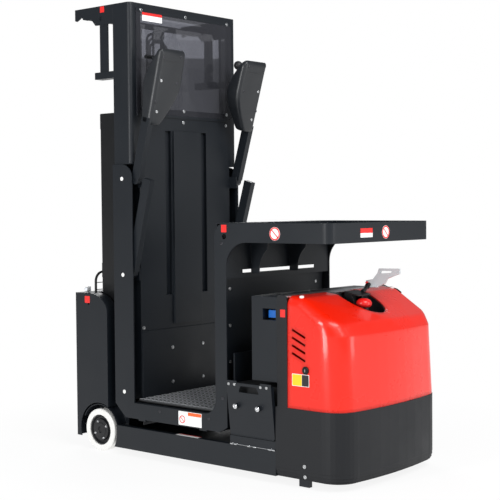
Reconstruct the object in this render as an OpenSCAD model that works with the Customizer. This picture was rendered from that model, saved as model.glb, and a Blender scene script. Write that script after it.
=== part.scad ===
// Order picker truck with a rising operator platform, a tray and a closed nose
// Millimetres, Z up, X towards the nose, origin on the floor under the middle of the truck
// Places along the truck are measured from its mast end

/* [Overall] */
// Length over rear cover and nose
truck_l = 1600; // [1550:5:1700]
// Width over the side plates
truck_w = 750; // [720:5:820]
// Height with the platform down
truck_h = 2100; // [2050:5:2250]
// Gap between chassis and floor
ground_gap = 33; // [25:1:45]
// Running gap between pieces that move past each other
run_gap = 6; // [5:0.5:8]
// Running gap of rollers, pins and bores
pin_gap = 0.4; // [0.3:0.05:0.6]

/* [Chassis] */
// Top of the side rails
rail_top = 137; // [120:1:150]
// Thickness of the side rails
rail_t = 30; // [20:1:40]
// Thickness of the bottom plate
pan_t = 6; // [4:1:10]
// Distance of the bulkhead behind the nose
bulkhead_back = 621; // [610:1:624]
// Top of the bulkhead
bulkhead_top = 526; // [450:2:560]
// Sheet thickness of the bulkhead
bulkhead_t = 8; // [5:1:10]

/* [Drive wheels] */
// Place of the drive axle
axle_at = 155; // [150:1:170]
// Tyre diameter
drive_d = 200; // [190:1:205]
// Tyre width
drive_w = 52; // [45:1:54]
// Hub diameter
hub_d = 144; // [130:1:150]
// Axle stub diameter
stub_d = 31; // [24:1:40]
// Inner radius of the wheel arch
arch_r = 120; // [115:1:124]

/* [Casters] */
// Distance of the swivel pins behind the nose
caster_back = 203; // [196:1:215]
// Distance of the swivel pins from the middle
caster_y = 232; // [220:1:234]
// Caster wheel diameter
caster_d = 125; // [110:1:130]
// Caster wheel width
caster_w = 34; // [28:1:40]
// Trail of the caster wheel
caster_trail = 34; // [28:1:38]

/* [Mast] */
// Place of the mast rails
mast_at = 109; // [105:1:115]
// Depth of the mast rails
mast_depth = 140; // [130:1:146]
// Width over the outer mast rails
mast_w = 600; // [590:1:604]
// Top of the lowered mast
mast_top = 1606; // [1560:2:1650]
// Depth of one mast rail across the truck
rail_deep = 38; // [34:1:40]
// Thickness of mast flanges
flange_t = 12; // [10:1:14]
// Thickness of mast webs
web_t = 10; // [8:1:12]
// Travel of each mast stage
stage_travel = 1000; // [800:10:1050]
// Diameter of the lift cylinder
cylinder_d = 48; // [40:1:50]
// Diameter of its rod
rod_d = 30; // [25:1:34]

/* [Platform] */
// Place of the side columns
column_at = 270; // [265:1:280]
// Depth of the side columns
column_l = 125; // [115:1:130]
// Top of the side columns
column_top = 1357; // [1320:1:1400]
// Thickness of the side plates
plate_t = 6; // [5:0.5:8]
// Bottom of the sills
sill_z = 181; // [170:1:190]
// Height of the sills
sill_h = 72; // [65:1:80]
// Top of the floor mat
floor_top = 268; // [262:1:275]
// Thickness of the floor mat
mat_t = 6; // [4:0.5:8]
// Front face of the back panel
panel_at = 387; // [380:1:392]
// Sheet thickness of the panels
sheet_t = 4; // [3:0.5:5]
// Distance of the posts that carry the tray behind the nose
post_back = 699; // [692:1:710]
// Depth of these posts
post_l = 66; // [55:1:68]

/* [Tray] */
// Top of the tray rim
tray_top = 1088; // [1060:1:1110]
// Height of the tray rim
rim_h = 83; // [75:1:90]
// Distance of the tray's front end behind the nose
tray_back = 79; // [60:1:120]
// Depth of the tray bed under the rim
tray_deep = 60; // [30:1:66]
// Distance of the wall behind the tray bed from the nose
tray_wall_back = 594; // [570:1:605]
// Bend radius of the tray corners
tray_r = 38; // [30:1:55]

/* [Arms] */
// Height of the arm pivots
arm_z = 1283; // [1270:1:1300]
// Height of the lower rail pivots
guard_z = 852; // [840:1:870]
// Distance of the arm pivots in front of the back panel
arm_off = 18; // [15:1:24]
// Distance of the lower rail pivots behind the face of the back panel
low_off = 20; // [16:1:24]
// Lean of the raised arm on the right
lean_right = 14.5; // [12:0.5:20]
// Lean of the raised arm on the left
lean_left = 16.5; // [12:0.5:20]
// Length of the arms
arm_l = 612; // [590:1:630]
// Length of the lower rails
guard_l = 448; // [430:1:455]
// Depth of the arm tubes
tube_d = 48; // [44:1:52]
// Width of the arm tubes
tube_w = 30; // [26:1:32]
// Length of the arm pods
pod_l = 350; // [330:1:370]

/* [Nose] */
// Distance of the control box behind the nose
box_back = 491; // [480:1:496]
// Length of the control box
box_l = 136; // [125:1:145]
// Length of the flange between box and hood
flange_l = 53; // [45:1:60]
// Distance of the control box's top under the hood's top
box_drop = 10; // [4:1:16]
// Top of the skirt
skirt_top = 326; // [310:1:340]
// Sheet thickness of skirt and hood
skirt_t = 5; // [4:0.5:7]
// Plan radius of the nose corners
nose_r = 110; // [95:1:120]
// Bow of the nose front
nose_bow = 18; // [10:1:24]
// Top of the hood at its rear edge
hood_top = 792; // [780:1:800]
// Fall of the hood top from its rear to its front edge
hood_fall = 102; // [90:1:120]
// Radius of the hood edges
hood_r = 40; // [30:1:50]

/* [Battery doors] */
// Height of the doors
door_h = 230; // [220:1:235]
// Outward lean of the doors as they stand
door_lean = 6.5; // [5:0.5:8]

/* [Hidden] */
$fn = 48;

half = truck_w / 2;
charcoal = "#34373c";
eps = 0.01;

bulkhead_at = truck_l - bulkhead_back;
caster_at = truck_l - caster_back;
post_at = truck_l - post_back;
tray_end = truck_l - tray_back;
tray_wall_at = truck_l - tray_wall_back;
box_at = truck_l - box_back;
box_top = hood_top - box_drop;
hood_low = hood_top - hood_fall;
sill_top = sill_z + sill_h;
beam_z = tray_top - rim_h;
column_end = column_at + column_l;
post_end = post_at + post_l;
arm_at = panel_at + arm_off;
low_at = panel_at - low_off;
box_end = box_at + box_l;
hood_at = box_end + flange_l;
skirt_at = box_end - 11;
axle_z = drive_d / 2;
plate_in = half - plate_t;
arm_y = plate_in - run_gap - tube_w / 2;
// Half width of the back panel beside the arms
panel_y = plate_in - 54;
door_at = bulkhead_at;
wall_at = post_at + 27;
door_l = skirt_at - door_at - run_gap;
door_z = sill_z;
pan_top = ground_gap + pan_t;
foot_top = pan_top + 20;
mast_front = mast_at + mast_depth;
motor_y = mast_w / 2 + 3;
motor_t = 8;
caster_z = caster_d / 2;
fork_top = caster_d + 18;
deck_z = fork_top + run_gap;

// Half widths at which each mast stage starts outside
stage_step = rail_deep + run_gap;
outer_y = mast_w / 2;
middle_y = outer_y - stage_step;
inner_y = middle_y - stage_step;
carriage_y = inner_y - stage_step;
roller_r = mast_depth / 2 - flange_t - pin_gap;

function arc(c, r, a0, a1, n = 8) =
  [for (i = [0 : n]) let (a = a0 + (a1 - a0) * i / n) [c[0] + r * cos(a), c[1] + r * sin(a)]];
function oval(c, rx, ry, a0, a1, n = 10) =
  [for (i = [0 : n]) let (a = a0 + (a1 - a0) * i / n) [c[0] + rx * cos(a), c[1] + ry * sin(a)]];

// Moves children from the mast end to the shared origin
module place() translate([-truck_l / 2, 0, 0]) children();

// Block between two corners
module block(a, b) translate(a) cube(b - a);

// Extrudes an outline drawn in X and Z across the truck, from y0 to y1
module across(y0, y1) translate([0, y1, 0]) rotate([90, 0, 0]) linear_extrude(y1 - y0) children();

// Round bar across the truck
module bar_y(x, z, d, y0, y1) translate([x, y1, z]) rotate([90, 0, 0]) cylinder(d = d, h = y1 - y0);

// Round bar along the truck
module bar_x(y, z, d, x0, x1) translate([x0, y, z]) rotate([0, 90, 0]) cylinder(d = d, h = x1 - x0);

// Both sides of the truck
module both() {
  children();
  mirror([0, 1, 0]) children();
}

// Children stand on the near side and are mirrored for the far side
module on_side(side) mirror([0, side > 0 ? 1 : 0, 0]) children();

// Chassis

module wheel_house() {
  // Curved sheet over the drive wheel
  translate([axle_at, -motor_y, axle_z]) rotate([90, 0, 0]) difference() {
    cylinder(r = arch_r + 4, h = half - 5 - motor_y);
    translate([0, 0, -1]) cylinder(r = arch_r, h = half);
    rotate([0, 0, 17]) translate([-2 * arch_r, -4 * arch_r, -1]) cube([4 * arch_r, 4 * arch_r, half]);
    rotate([0, 0, -28]) translate([-4 * arch_r, -4 * arch_r, -1]) cube([4 * arch_r, 4 * arch_r, half]);
  }
}

module side_rail() {
  difference() {
    block([axle_at, -half, ground_gap], [skirt_at, -half + rail_t, rail_top]);
    bar_y(axle_at, axle_z, 2 * arch_r + 4, -half - 1, -half + rail_t + 1);
  }
  // Sill strip under the battery door
  block([door_at, -half + 4, rail_top], [skirt_at, -half + rail_t, door_z - 5]);
}

module motor_plate() {
  difference() {
    block([6, -motor_y - motor_t, ground_gap], [mast_front + 40, -motor_y, axle_z + arch_r + 12]);
    for (x = [42, mast_front + 12]) bar_y(x, 190, 36, -motor_y - motor_t - 1, -motor_y + 1);
  }
  bar_y(axle_at, axle_z, stub_d - pin_gap * 2, -half + 22, -motor_y - motor_t);
  bar_y(axle_at, axle_z, 96, -motor_y - motor_t - 3, -motor_y - motor_t);
}

module chassis_frame() color(charcoal) place() {
  difference() {
    union() {
      both() {
        side_rail();
        motor_plate();
        wheel_house();
      }
      block([mast_front + 4, -half + rail_t, ground_gap], [skirt_at, half - rail_t, pan_top]);
      block([mast_at - 33, -motor_y, ground_gap], [mast_front + 40, motor_y, foot_top]);
      block([6, -motor_y, ground_gap], [14, motor_y, 150]);
      block([14, -40, ground_gap], [mast_at - 33, 40, pan_top + 4]);
      block([bulkhead_at, -half + rail_t, pan_top], [bulkhead_at + bulkhead_t, half - rail_t, bulkhead_top]);
      block([skirt_at - 4, -half + rail_t - 4, ground_gap + 10], [skirt_at + 8, half - rail_t + 4, deck_z + 1]);
      translate([0, 0, deck_z]) linear_extrude(8) polygon(nose_plan(skirt_t + 12.3, skirt_at));
    }
    both() translate([caster_at, -caster_y, deck_z - 1]) cylinder(d = 24 + 2 * pin_gap, h = 10);
  }
  both() block([hood_at + 46, -half + skirt_t + 12.3, 4], [hood_at + 98, -half + skirt_t + 32, deck_z + 2]);
}

// Nose

function nose_plan(inset, x0, reach = 0) = let (
  xf = truck_l - nose_bow - inset - reach,
  y0 = half - inset,
  r = nose_r - inset
) concat(
  [[x0, -y0]],
  arc([xf - r, -y0 + r], r, -90, -6, 8),
  [for (i = [-4 : 4]) let (y = i / 4 * (y0 - r)) [xf + nose_bow * (1 - pow(y / (y0 - r), 2)), y]],
  arc([xf - r, y0 - r], r, 6, 90, 8),
  [[x0, y0]]
);

// Bands at the bottom of the skirt: height above the last band, inset of the outline
skirt_bands = [[5, 16], [8, 9], [12, 4], [15, 1]];
function band_z(i) = i == 0 ? ground_gap : band_z(i - 1) + skirt_bands[i - 1][0];

module front_skirt() color(charcoal) place() {
  difference() {
    union() {
      for (i = [0 : len(skirt_bands) - 1]) translate([0, 0, band_z(i)])
        linear_extrude(skirt_bands[i][0]) polygon(nose_plan(skirt_bands[i][1], skirt_at));
      translate([0, 0, band_z(4)]) linear_extrude(skirt_top - band_z(4)) polygon(nose_plan(0, skirt_at));
    }
    translate([0, 0, -1]) linear_extrude(skirt_top + 2) polygon(nose_plan(skirt_t + 12, skirt_at - 1));
    translate([0, 0, band_z(4)]) linear_extrude(skirt_top) polygon(nose_plan(skirt_t, skirt_at - 1));
  }
  // Upright flanges between box and hood
  both() across(-half, -half + skirt_t) polygon(concat(
    [[box_end, skirt_top], [hood_at, skirt_top]],
    arc([hood_at - 20, hood_top - 20], 20, 0, 90, 5),
    arc([box_end + 12, hood_top - 12], 12, 90, 180, 4)
  ));
}

// Side profile corners of the hood: place behind the hood end, height of the edge centre
module hood_form(inset) {
  r = hood_r - inset;
  xf = truck_l - nose_bow;
  slope = atan((hood_top - 12 - hood_low) / (xf - nose_r + 60 - hood_at - 50));
  hull() {
    translate([0, 0, skirt_top]) linear_extrude(1) polygon(nose_plan(inset + 2, hood_at));
    translate([0, 0, hood_low - 60]) linear_extrude(1) polygon(nose_plan(inset + 4, hood_at, 14));
    for (s = [-1, 1]) {
      translate([hood_at - 30, s * (half - 5 - hood_r), hood_top - hood_r]) sphere(r, $fn = 32);
      translate([hood_at + 50, s * (half - 5 - hood_r), hood_top - 10 - hood_r]) sphere(r, $fn = 32);
      translate([xf - 24 - nose_r, s * (half - 5 - nose_r), hood_low + 26 - hood_r]) rotate([0, slope, 0])
        rotate_extrude($fn = 32) translate([nose_r - hood_r, 0]) circle(r, $fn = 24);
    }
    for (y = [-0.4, 0, 0.4]) translate([xf - 26 - hood_r + nose_bow * (1 - y * y * 4), y * half, hood_low - hood_r])
      sphere(r, $fn = 24);
  }
}

recess_w = 104;
recess_end = hood_at + 218;
recess_z = hood_low + 6;
function recess_plan(grow) = concat(
  [[hood_at - 40, -recess_w - grow]],
  oval([recess_end - 130, 0], 130 + grow, recess_w + grow, -90, 90, 16),
  [[hood_at - 40, recess_w + grow]]
);

vent_x = hood_at + 22;
vent_z = 551;
vent_pitch = 32;

module hood() color("#e8341c") place() {
  difference() {
    intersection() {
      hood_form(0);
      block([hood_at, -half, skirt_top], [truck_l, half, hood_top + 20]);
    }
    intersection() {
      hood_form(skirt_t);
      block([hood_at + skirt_t, -half, skirt_top - 1], [truck_l, half, hood_top + 20]);
    }
    translate([0, 0, recess_z - 8]) linear_extrude(200) polygon(recess_plan(0));
    // Slanted vents in both sides
    for (i = [0 : 3]) translate([vent_x, -half - 1, vent_z + i * vent_pitch]) rotate([0, 24, 0])
      block([0, 0, 0], [74, 40, 9]);
    for (i = [0 : 3]) translate([vent_x, half - 39, vent_z + i * vent_pitch]) rotate([0, 24, 0])
      block([0, 0, 0], [74, 40, 9]);
    bar_y(hood_at + 94, 488, 26, -half - 1, -half + 40);
  }
}

module hood_liner() color("#6d7175") place() difference() {
  translate([0, 0, recess_z - 8]) linear_extrude(hood_top - recess_z - 4) polygon(recess_plan(-0.5));
  translate([0, 0, recess_z]) linear_extrude(200) polygon(recess_plan(-4));
  block([hood_at - 50, -half, recess_z - 9], [hood_at + 1, half, hood_top + 50]);
  translate([hood_at + 56, 0, hood_top - 14]) rotate([0, 26, 0]) block([-100, -half, 0], [300, half, 200]);
}

button_at = hood_at + 138;

module stop_button() color("#d0140c") place() translate([button_at, -22, recess_z + 0.3]) {
  cylinder(d = 40, h = 24);
  translate([0, 0, 24]) cylinder(d1 = 60, d2 = 66, h = 10);
  translate([0, 0, 34]) intersection() {
    translate([0, 0, -34]) sphere(r = 48);
    cylinder(d = 66, h = 20);
  }
}

module button_guard() color("#2b2d31") place() {
  across(-62, -54) polygon([[button_at - 70, recess_z], [button_at - 8, recess_z],
    [button_at - 34, hood_top - 4], [button_at - 70, hood_top - 4]]);
  across(24, 32) polygon([[button_at - 70, recess_z], [button_at - 40, recess_z],
    [button_at - 40, hood_top - 4], [button_at - 70, hood_top - 4]]);
  translate([button_at - 70, -62, hood_top - 4]) rotate([0, 12, 0]) cube([72, 94, 5]);
  block([button_at - 70, -54, recess_z], [button_at - 64, 24, hood_top - 4]);
}

handle_y = 84;
handle_at = hood_at + 82;
handle_z = hood_top + 18;

module release_handle() color("#d4d6d8") place() {
  across(handle_y - 5, handle_y + 5) difference() {
    polygon([[handle_at, handle_z + 22], [handle_at, handle_z + 6], [handle_at + 20, handle_z - 6],
      [handle_at + 66, handle_z - 2], [handle_at + 97, handle_z + 10], [handle_at + 110, handle_z + 32],
      [handle_at + 172, handle_z + 55], [handle_at + 172, handle_z + 77], [handle_at + 67, handle_z + 75],
      [handle_at + 60, handle_z + 56], [handle_at + 36, handle_z + 28]]);
    polygon([[handle_at + 74, handle_z + 54], [handle_at + 132, handle_z + 58], [handle_at + 132, handle_z + 66],
      [handle_at + 76, handle_z + 65]]);
  }
  // Foot that stands in the recess
  block([handle_at + 22, handle_y - 14, recess_z + 0.3], [handle_at + 62, handle_y + 5, handle_z]);
}

module deck_plate() color("#8d9093") place() {
  block([box_end, -half + skirt_t, box_top], [hood_at, half - skirt_t, box_top + 6]);
  block([box_end, -half + skirt_t, box_top - 40], [box_end + 4, half - skirt_t, box_top]);
}

module battery() color("#1f2124") place()
  block([bulkhead_at + bulkhead_t + 2, -half + rail_t + 2, pan_top + 0.3],
        [skirt_at - 6, half - rail_t - 2, sill_z + door_h - 12]);

plug_at = box_at + 60;
plug_z = 708;
plug_l = 70;
plug_h = 48;

module control_box() color(charcoal) place() difference() {
  block([box_at, -half + 1, sill_z + door_h + 15], [box_end, half - 1, box_top]);
  both() block([plug_at, -half, plug_z - plug_h / 2], [plug_at + plug_l, -half + 60, plug_z + plug_h / 2]);
}

module power_plug() color("#1f6fd0") place() {
  block([plug_at + 12, -half + 26, plug_z - 16], [plug_at + 58, -half + 59.7, plug_z + 16]);
}

// Mast rail that opens towards the middle of the truck, on the near side
module mast_rail(y_out, z0, z1) {
  block([mast_at, -y_out, z0], [mast_front, -y_out + web_t, z1]);
  for (x = [mast_at, mast_front - flange_t])
    block([x, -y_out, z0], [x + flange_t, -y_out + rail_deep, z1]);
}

// Roller outside a rail, in the channel of the next stage out
module mast_roller(y_rail, z) {
  x = mast_at + mast_depth / 2;
  bar_y(x, z, 2 * roller_r, -y_rail - run_gap - rail_deep + web_t + 2, -y_rail - run_gap);
  bar_y(x, z, 34, -y_rail - run_gap - 1, -y_rail);
}

cross_t = 11;
cross_h = 70;

// Crossbar that bows behind the stages inside it
module mast_cross(y_out, depth, z) {
  x0 = mast_at - depth;
  y0 = y_out - rail_deep + 10;
  block([x0, -y0, z], [x0 + cross_t, y0, z + cross_h]);
  both() block([x0, -y0, z], [mast_at + 2, -y0 + 8, z + cross_h]);
}

module outer_mast() color(charcoal) place() {
  both() mast_rail(outer_y, foot_top, mast_top);
  for (z = [foot_top + 60, 820, mast_top - cross_h]) mast_cross(outer_y, 33, z);
}

module middle_mast() color("#2c2e33") place() {
  both() {
    mast_rail(middle_y, foot_top + 6, mast_top - 4);
    for (z = [foot_top + 90, foot_top + 420]) mast_roller(middle_y, z);
  }
  for (z = [foot_top + 140, 900, mast_top - 4 - cross_h]) mast_cross(middle_y, 16.5, z);
  // Lug over the outer crossbar that the rod pushes
  block([rod_at - 20, -26, mast_top + run_gap], [mast_at - 16.5 + cross_t, 26, mast_top + run_gap + 14]);
  block([mast_at - 16.5, -26, mast_top - 5], [mast_at - 16.5 + cross_t, 26, mast_top + run_gap + 1]);
}

module inner_mast() color("#3b3e43") place() {
  both() {
    mast_rail(inner_y, foot_top + 12, mast_top - 8);
    for (z = [foot_top + 90, foot_top + 420]) mast_roller(inner_y, z);
  }
  for (z = [foot_top + 40, 760, mast_top - 8 - cross_h])
    block([mast_at, -inner_y + web_t, z], [mast_at + cross_t, inner_y - web_t, z + cross_h]);
}

rod_at = 40;
barrel_top = 1500;

module lift_cylinder() color("#25272a") place() translate([rod_at, 0, pan_top + 4.3]) difference() {
  union() {
    cylinder(d = cylinder_d, h = barrel_top - pan_top);
    translate([0, 0, barrel_top - pan_top - 40]) cylinder(d = cylinder_d + 8, h = 40);
  }
  translate([0, 0, 30]) cylinder(d = rod_d + 2 * pin_gap, h = barrel_top);
}

module lift_rod() color("#c9ccd0") place() translate([rod_at, 0, pan_top + 60])
  cylinder(d = rod_d, h = mast_top + run_gap - pan_top - 60);

// Rear cover

cover_top = 750;
cover_l = 217;
cover_flat = 87;
cover_z = 60;

function cover_outline(t) = concat(
  [[t, cover_z - (t > 0 ? 1 : 0)], [cover_l - t, cover_z - (t > 0 ? 1 : 0)], [cover_l - t, cover_top - 85]],
  oval([cover_flat, cover_top - 85], cover_l - cover_flat - t, 85 - t, 0, 90, 10),
  [[t, cover_top - t]]
);

module rear_cover() color(charcoal) place() difference() {
  across(-half, half) polygon(cover_outline(0));
  across(-half + 4, half - 4) polygon(cover_outline(4));
  // Room for the mast and for the cylinder
  block([mast_at - 33 - run_gap, -motor_y - motor_t - 2, cover_z - 2], [cover_l + 1, motor_y + motor_t + 2, cover_top + 2]);
  translate([rod_at, 0, cover_z]) cylinder(d = cylinder_d + 8, h = cover_top);
  bar_y(axle_at, axle_z, 2 * (arch_r + 10), -half - 1, half + 1);
  block([cover_l - 60, -half - 1, cover_z - 2], [cover_l + 1, half + 1, axle_z + 60]);
  both() translate([90, -half + 5, 700]) rotate([90, 28, 0]) cylinder(d = 12, h = 8);
}

guard_at = 70;
guard_w = 308;
guard_top = 853;

module mesh_guard() color("#202225") place() {
  r = 46;
  both() {
    bar_z(guard_at, -guard_w, 12, cover_top + 0.3, guard_top - 6 - r);
    translate([guard_at, -guard_w + r, guard_top - 6 - r]) rotate([90, 0, 90]) rotate([0, 0, 90])
      rotate_extrude(angle = 90) translate([r, 0]) circle(d = 12);
  }
  bar_y(guard_at, guard_top - 6, 12, -guard_w + r, guard_w - r);
  for (i = [-5 : 5]) bar_z(guard_at, i * 50, 4, cover_top + 0.3, guard_top - 8);
  for (z = [cover_top + 12, cover_top + 46]) bar_y(guard_at, z, 4, -guard_w, guard_w);
}

module bar_z(x, y, d, z0, z1) translate([x, y, z0]) cylinder(d = d, h = z1 - z0);

module rear_lamp() color("#b9bcc0") place() {
  bar_y(70, cover_top + 17, 22, -half + 4, -half + 22);
  block([64, -half + 22, cover_top + 0.3], [80, -half + 26, cover_top + 30]);
}

// Wheels

module drive_tyre(side) color("#eeeeea") place() on_side(side)
  translate([axle_at, -half + 5 + drive_w, axle_z]) rotate([90, 0, 0]) difference() {
    union() {
      translate([0, 0, 4]) cylinder(d = drive_d, h = drive_w - 8);
      cylinder(d1 = drive_d - 8, d2 = drive_d, h = 4);
      translate([0, 0, drive_w - 4]) cylinder(d1 = drive_d, d2 = drive_d - 8, h = 4);
    }
    translate([0, 0, -1]) cylinder(d = hub_d, h = drive_w + 2);
  }

module drive_hub(side) color("#1d1e20") place() on_side(side)
  translate([axle_at, -half + 5 + drive_w, axle_z]) rotate([90, 0, 0]) difference() {
    union() {
      cylinder(d = hub_d, h = drive_w - 4);
      translate([0, 0, drive_w - 4]) cylinder(d = 72, h = 3);
      for (i = [0 : 4]) rotate([0, 0, 72 * i + 20]) translate([48, 0, drive_w - 4]) cylinder(d = 10, h = 3);
    }
    translate([0, 0, -1]) cylinder(d = stub_d, h = drive_w - 14);
    difference() {
      translate([0, 0, drive_w - 9]) cylinder(d = hub_d - 12, h = 6);
      translate([0, 0, drive_w - 10]) cylinder(d = 108, h = 8);
    }
  }

module caster_fork(side) color("#8e9297") place() on_side(side) translate([caster_at, -caster_y, 0]) {
  translate([0, 0, fork_top - 8]) cylinder(d = 88, h = 8);
  translate([0, 0, fork_top - 1]) cylinder(d = 24, h = run_gap + 12);
  difference() {
    both() across(-caster_w / 2 - run_gap - 4, -caster_w / 2 - run_gap) polygon([
      [-34, fork_top - 8], [38, fork_top - 8], [-caster_trail + 14, caster_z - 12], [-caster_trail - 14, caster_z - 12]
    ]);
  }
  bar_y(-caster_trail, caster_z, 11.2, -caster_w / 2 - run_gap - 8, caster_w / 2 + run_gap + 8);
}

module caster_wheel(side) color("#2a2b2d") place() on_side(side)
  translate([caster_at - caster_trail, -caster_y, caster_z]) difference() {
    union() {
      bar_y(0, 0, caster_d - 6, -caster_w / 2, caster_w / 2);
      bar_y(0, 0, caster_d, -caster_w / 2 + 4, caster_w / 2 - 4);
      bar_y(0, 0, 26, -caster_w / 2 - run_gap + 0.5, caster_w / 2 + run_gap - 0.5);
    }
    bar_y(0, 0, 12, -caster_w, caster_w);
  }

// Battery doors

hand_w = 110;

module battery_door(side) color(charcoal) place() on_side(side)
  translate([0, -half + 8, door_z]) rotate([door_lean, 0, 0]) {
    difference() {
      block([door_at + 3, -4, 3], [door_at + door_l, 0, door_h]);
      translate([door_at + door_l / 2, 1, door_h - 48]) rotate([90, 0, 0]) intersection() {
        scale(1) cylinder(d = hand_w, h = 8);
        translate([-hand_w, 8, 0]) cube([2 * hand_w, 28, 8]);
      }
    }
    for (x = [door_at + 3, door_at + door_l - 4]) block([x, 0, 8], [x + 4, 14, door_h - 4]);
    for (x = [door_at + 3, door_at + door_l - 58]) block([x, -4, door_h - 1], [x + 58, 0, door_h + 8]);
    for (x = [door_at + 56, door_at + door_l - 70])
      translate([x, -4, door_h - 100]) rotate([90, 0, 0]) cylinder(d = 22, h = 14);
    bar_x(0, 0, 9, door_at + 6, door_at + door_l - 4);
  }

// Platform

function side_outline() = concat(
  [[column_at, sill_z + 62], [column_at + 66, sill_z], [post_end - 42, sill_z], [post_end, sill_z + 24]],
  arc([post_end + 110, beam_z - 110], 110, 180, 90, 10),
  [[tray_end - tray_r, beam_z], [tray_end - tray_r, tray_top]],
  arc([post_at + 60, tray_top - 60], 60, 90, 180, 8),
  arc([post_at - 66, sill_top + 66], 66, 0, -90, 8),
  [[column_end, sill_top]],
  arc([column_end - 66, column_top - 66], 66, 0, 90, 8),
  [[column_at, column_top]]
);

module side_plate(side) color("#4a4e54") place() on_side(side) {
  difference() {
    across(-half, -plate_in) polygon(side_outline());
    bar_y(post_at + 56, tray_top - 58, 24, -half - 1, -plate_in + 1);
    for (z = [1290, 845, 300]) bar_y(column_at + 60, z, 16, -half - 1, -plate_in + 1);
  }
  // Return of the column, box of the sill and tabs under it
  block([column_at, -plate_in, sill_z + 62], [column_at + plate_t, -plate_in + 26, column_top - 2]);
  block([column_at + 66, -plate_in, sill_z], [column_end + 2, -plate_in + 24, sill_top]);
  block([column_end, -plate_in, sill_top - 4], [wall_at - 0.3, -plate_in + 24, sill_top]);
  block([column_end, -plate_in + 20, sill_z], [wall_at - 0.3, -plate_in + 24, sill_top - 4]);
  for (x = [420, wall_at - 128]) block([x, -half + 2, sill_z - 7], [x + 44, -half + 8, sill_z]);
}

floor_t = 5;
floor_y = plate_in - 24;

module platform_floor() color("#2f3236") place() {
  z1 = floor_top - mat_t;
  block([panel_at + 1, -floor_y, z1 - floor_t], [wall_at - 0.3, floor_y, z1]);
  for (x = [panel_at + 1, panel_at + 173, wall_at - 208, wall_at - 6.3]) block([x, -floor_y, sill_z + 4], [x + 6, floor_y, z1 - floor_t]);
  for (y = [-160, 154]) block([panel_at + 7, y, sill_z + 4], [wall_at - 6.3, y + 6, z1 - floor_t]);
}

module floor_mat() color("#5c6064") place()
  block([panel_at + 8, -floor_y + 3, floor_top - mat_t], [wall_at - 14, floor_y - 3, floor_top]);

guard_low = sill_top + 10;
window_w = 661;
window_h = 499;
window_z0 = truck_h - 20 - window_h;
slot_top = window_z0 - 62;
carriage_z0 = 330;
carriage_h = 620;

module back_panel() color("#3a3d42") place() {
  x0 = panel_at - sheet_t;
  xb = column_at + plate_t + 0.4;
  difference() {
    union() {
      block([x0, -panel_y, guard_low], [panel_at, panel_y, truck_h]);
      block([x0, -plate_in + 20, column_top], [panel_at, plate_in - 20, truck_h]);
      both() {
        // Rounded edge and side return above the column
        translate([panel_at - 20, -plate_in + 20, column_top]) intersection() {
          difference() {
            cylinder(r = 20, h = truck_h - column_top);
            translate([0, 0, -1]) cylinder(r = 20 - sheet_t, h = truck_h);
          }
          translate([0, -30, -1]) cube([30, 30, truck_h]);
        }
        block([xb, -plate_in, column_top], [panel_at - 20, -plate_in + sheet_t, truck_h]);
        // Channel beside the panel in which arms and rails swing
        block([xb, -panel_y, guard_low], [x0 + 1, -panel_y + sheet_t, column_top + sheet_t]);
        block([xb, -plate_in + 0.4, guard_low], [xb + sheet_t, -panel_y + 1, column_top + sheet_t]);
        block([xb, -plate_in + 0.4, column_top], [x0 + 1, -panel_y + 1, column_top + sheet_t]);
      }
    }
    // Window opening, slots beside the middle plate
    block([x0 - 1, -window_w / 2 + 30, window_z0 + 40], [panel_at + 1, window_w / 2 - 30, window_z0 + window_h - 22]);
    both() block([x0 - 1, -144, 740], [panel_at + 1, -104, slot_top]);
  }
  // Bottom of the slots
  both() difference() {
    block([x0 - 16, -148, 736], [x0 + 1, -100, slot_top + 4]);
    block([x0 - 12, -144, 740], [x0 + 2, -104, slot_top]);
  }
  // Raised middle plate, lower plate
  block([panel_at - 1, -95, 600], [panel_at + 10, 95, slot_top]);
  block([panel_at - 1, -panel_y + 4, guard_low], [panel_at + 5, panel_y - 4, 578]);
  // Pivot brackets of arms and lower rails
  both() for (p = [[arm_at, arm_z], [low_at, guard_z]]) {
    y1 = arm_y - tube_w / 2 - run_gap;
    block([p[0] - 28, -y1, p[1] - 34], [p[0] + 24, -y1 + 6, p[1] + 24]);
    block([p[0] - 28, -y1 + 5, p[1] - 34], [p[0] - 18, -panel_y + 1, p[1] + 24]);
    bar_y(p[0], p[1], 15.2, -arm_y - tube_w / 2 + 2, -y1 + 1);
  }
  // Carriage plates with rollers in the inner mast
  both() {
    block([mast_at + 21, -carriage_y, carriage_z0], [x0 + 1, -carriage_y + 8, carriage_z0 + carriage_h]);
    for (z = [carriage_z0 + 75, carriage_z0 + carriage_h - 75]) mast_roller(carriage_y, z);
  }
}

module window() color("#9fb4c0", 0.4) place()
  block([panel_at, -window_w / 2, window_z0], [panel_at + 5, window_w / 2, window_z0 + window_h]);

// Underside of the top bracket: place from the mast end, height under the top
bracket_low = [[16, 52], [29, 56], [40, 52], [60, 42], [66, 42], [72, 52], [100, 58], [130, 58], [158, 88], [190, 89]];

module top_bracket() color("#4a4e54") place() {
  both() {
    difference() {
      across(-plate_in - 0.02, -plate_in + sheet_t) polygon(concat(
        [[column_at + 6.4, truck_h], [16, truck_h]],
        [for (p = bracket_low) [p[0], truck_h - p[1]]],
        [[column_at + 6.4, truck_h - 89]]
      ));
      bar_y(196, truck_h - 58, 22, -plate_in - 1, -plate_in + sheet_t + 1);
    }
    // Upright and foot behind the side return
    block([183, -plate_in + sheet_t, truck_h - 310], [236, -plate_in + sheet_t + 40, truck_h - 20]);
    block([150, -plate_in, truck_h - 340], [column_at + 6.4, -plate_in + 50, truck_h - 308]);
  }
  bar_y(92, truck_h - 40, 30, -plate_in + sheet_t - 1, plate_in - sheet_t + 1);
  block([160, -plate_in + sheet_t, truck_h - 6], [panel_at - 21, plate_in - sheet_t, truck_h - 2]);
}

slot_z = 866;
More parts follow.
